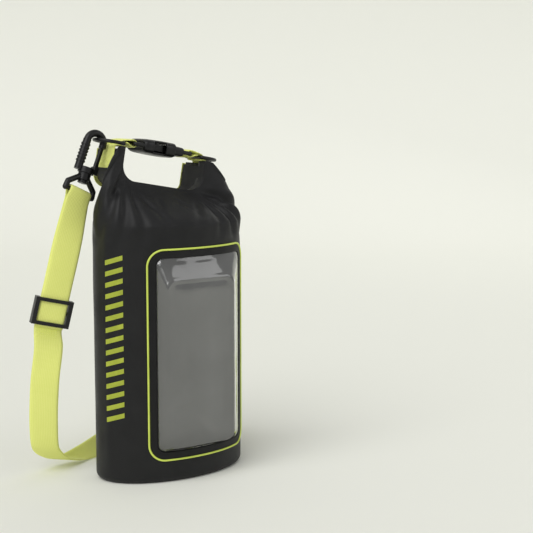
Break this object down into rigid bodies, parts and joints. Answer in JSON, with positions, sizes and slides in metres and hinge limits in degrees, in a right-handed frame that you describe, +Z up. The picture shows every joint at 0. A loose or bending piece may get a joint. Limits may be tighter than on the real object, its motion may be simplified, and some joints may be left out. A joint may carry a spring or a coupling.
{
  "type": "dry bag",
  "caption": "Small oval roll-top dry bag with clear phone window, side-release buckle, D-rings and a webbing shoulder strap on swivel snap hooks.",
  "frame": {"origin": "centre of the bag's oval base, on the surface it stands on", "axes": "+Z up, -Y towards the window side, +X towards the low ring's side (the wearer's left as seen from the window)"},
  "size_m": [0.2269, 0.1328, 0.3069],
  "materials": {
    "coated_fabric": "semi-matte coated weave",
    "border_fabric": "matte coated",
    "lining_fabric": "smooth lining",
    "lime_webbing": "woven webbing",
    "lime_piping": "satin",
    "clear_film": "clear glossy film",
    "hardware_plastic": "satin moulded",
    "strip_plastic": "plain",
    "pin_steel": "plain"
  },
  "bodies": {
    "bag": {"bag_body": "coated_fabric", "bag_base": "coated_fabric", "back_seam": "coated_fabric", "roll_top": "coated_fabric", "stiffener_strip": "strip_plastic", "hem_tape": "lime_webbing", "window_frame": "border_fabric", "window_piping": "lime_piping", "window_film": "clear_film", "phone_sleeve": "lining_fabric", "tab_left": "lime_webbing", "buckle_female": "hardware_plastic", "anchor_patch": "lime_webbing", "anchor_loop": "lime_webbing", "strap_webbing": "lime_webbing", "eye_top": "hardware_plastic", "eye_low": "hardware_plastic"},
    "buckle_half": {"buckle_male": "hardware_plastic", "tab_right": "lime_webbing"},
    "prong_f": {"prong_front": "hardware_plastic"},
    "prong_b": {"prong_back": "hardware_plastic"},
    "left_ring": {"ring_left": "hardware_plastic"},
    "right_ring": {"ring_right": "hardware_plastic"},
    "low_ring": {"ring_low": "hardware_plastic"},
    "strap_slider": {"slider": "hardware_plastic"},
    "top_hook": {"hook_top": "hardware_plastic", "gate_pin_top": "pin_steel"},
    "top_gate": {"gate_top": "hardware_plastic"},
    "low_hook": {"hook_low": "hardware_plastic", "gate_pin_low": "pin_steel"},
    "low_gate": {"gate_low": "hardware_plastic"}
  },
  "joints": [
    {"name": "buckle_release", "type": "slide", "parent": "bag", "child": "buckle_half", "axis": [0.9848, 0, -0.1736], "range_m": [0, 0.024]},
    {"name": "prong_front_press", "type": "hinge", "parent": "buckle_half", "child": "prong_f", "pos_m": [0.01208, 0.0086, 0.28702], "axis": [-0.1736, 0, -0.9848], "range_deg": [0, 5], "stiffness_Nm_per_rad": 0.05},
    {"name": "prong_back_press", "type": "hinge", "parent": "buckle_half", "child": "prong_b", "pos_m": [0.01208, 0.0274, 0.28702], "axis": [0.1736, 0, 0.9848], "range_deg": [0, 5], "stiffness_Nm_per_rad": 0.05},
    {"name": "ring_left_swing", "type": "hinge", "parent": "bag", "child": "left_ring", "pos_m": [-0.04026, 0.018, 0.29483], "axis": [0, -1, 0], "range_deg": [0, 8]},
    {"name": "ring_right_swing", "type": "hinge", "parent": "buckle_half", "child": "right_ring", "pos_m": [0.03931, 0.018, 0.2808], "axis": [0, 1, 0], "range_deg": [-95, 8]},
    {"name": "ring_low_swing", "type": "hinge", "parent": "bag", "child": "low_ring", "pos_m": [0.05822, 0.03249, 0.063], "axis": [0.8083, -0.5887, 0], "range_deg": [0, 5]},
    {"name": "slider_slide", "type": "slide", "parent": "bag", "child": "strap_slider", "axis": [0.2203, -0.0846, 0.9718], "range_m": [0, 0.045]},
    {"name": "hook_top_swivel", "type": "hinge", "parent": "bag", "child": "top_hook", "pos_m": [-0.07956, 0.016, 0.2534], "axis": [0.3886, 0.0409, 0.9205], "range_deg": [-20, 20]},
    {"name": "gate_top_open", "type": "hinge", "parent": "top_hook", "child": "top_gate", "pos_m": [-0.06284, 0.01702, 0.27345], "axis": [0.0159, -0.9992, 0.0377], "range_deg": [0, 20], "stiffness_Nm_per_rad": 0.02},
    {"name": "hook_low_swivel", "type": "hinge", "parent": "bag", "child": "low_hook", "pos_m": [0.09482, 0.06449, 0.01646], "axis": [-0.6438, -0.5105, 0.57], "range_deg": [-14, 14]},
    {"name": "gate_low_open", "type": "hinge", "parent": "low_hook", "child": "low_gate", "pos_m": [0.07611, 0.04814, 0.02454], "axis": [-0.6835, 0.7185, -0.1285], "range_deg": [0, 20], "stiffness_Nm_per_rad": 0.02}
  ]
}
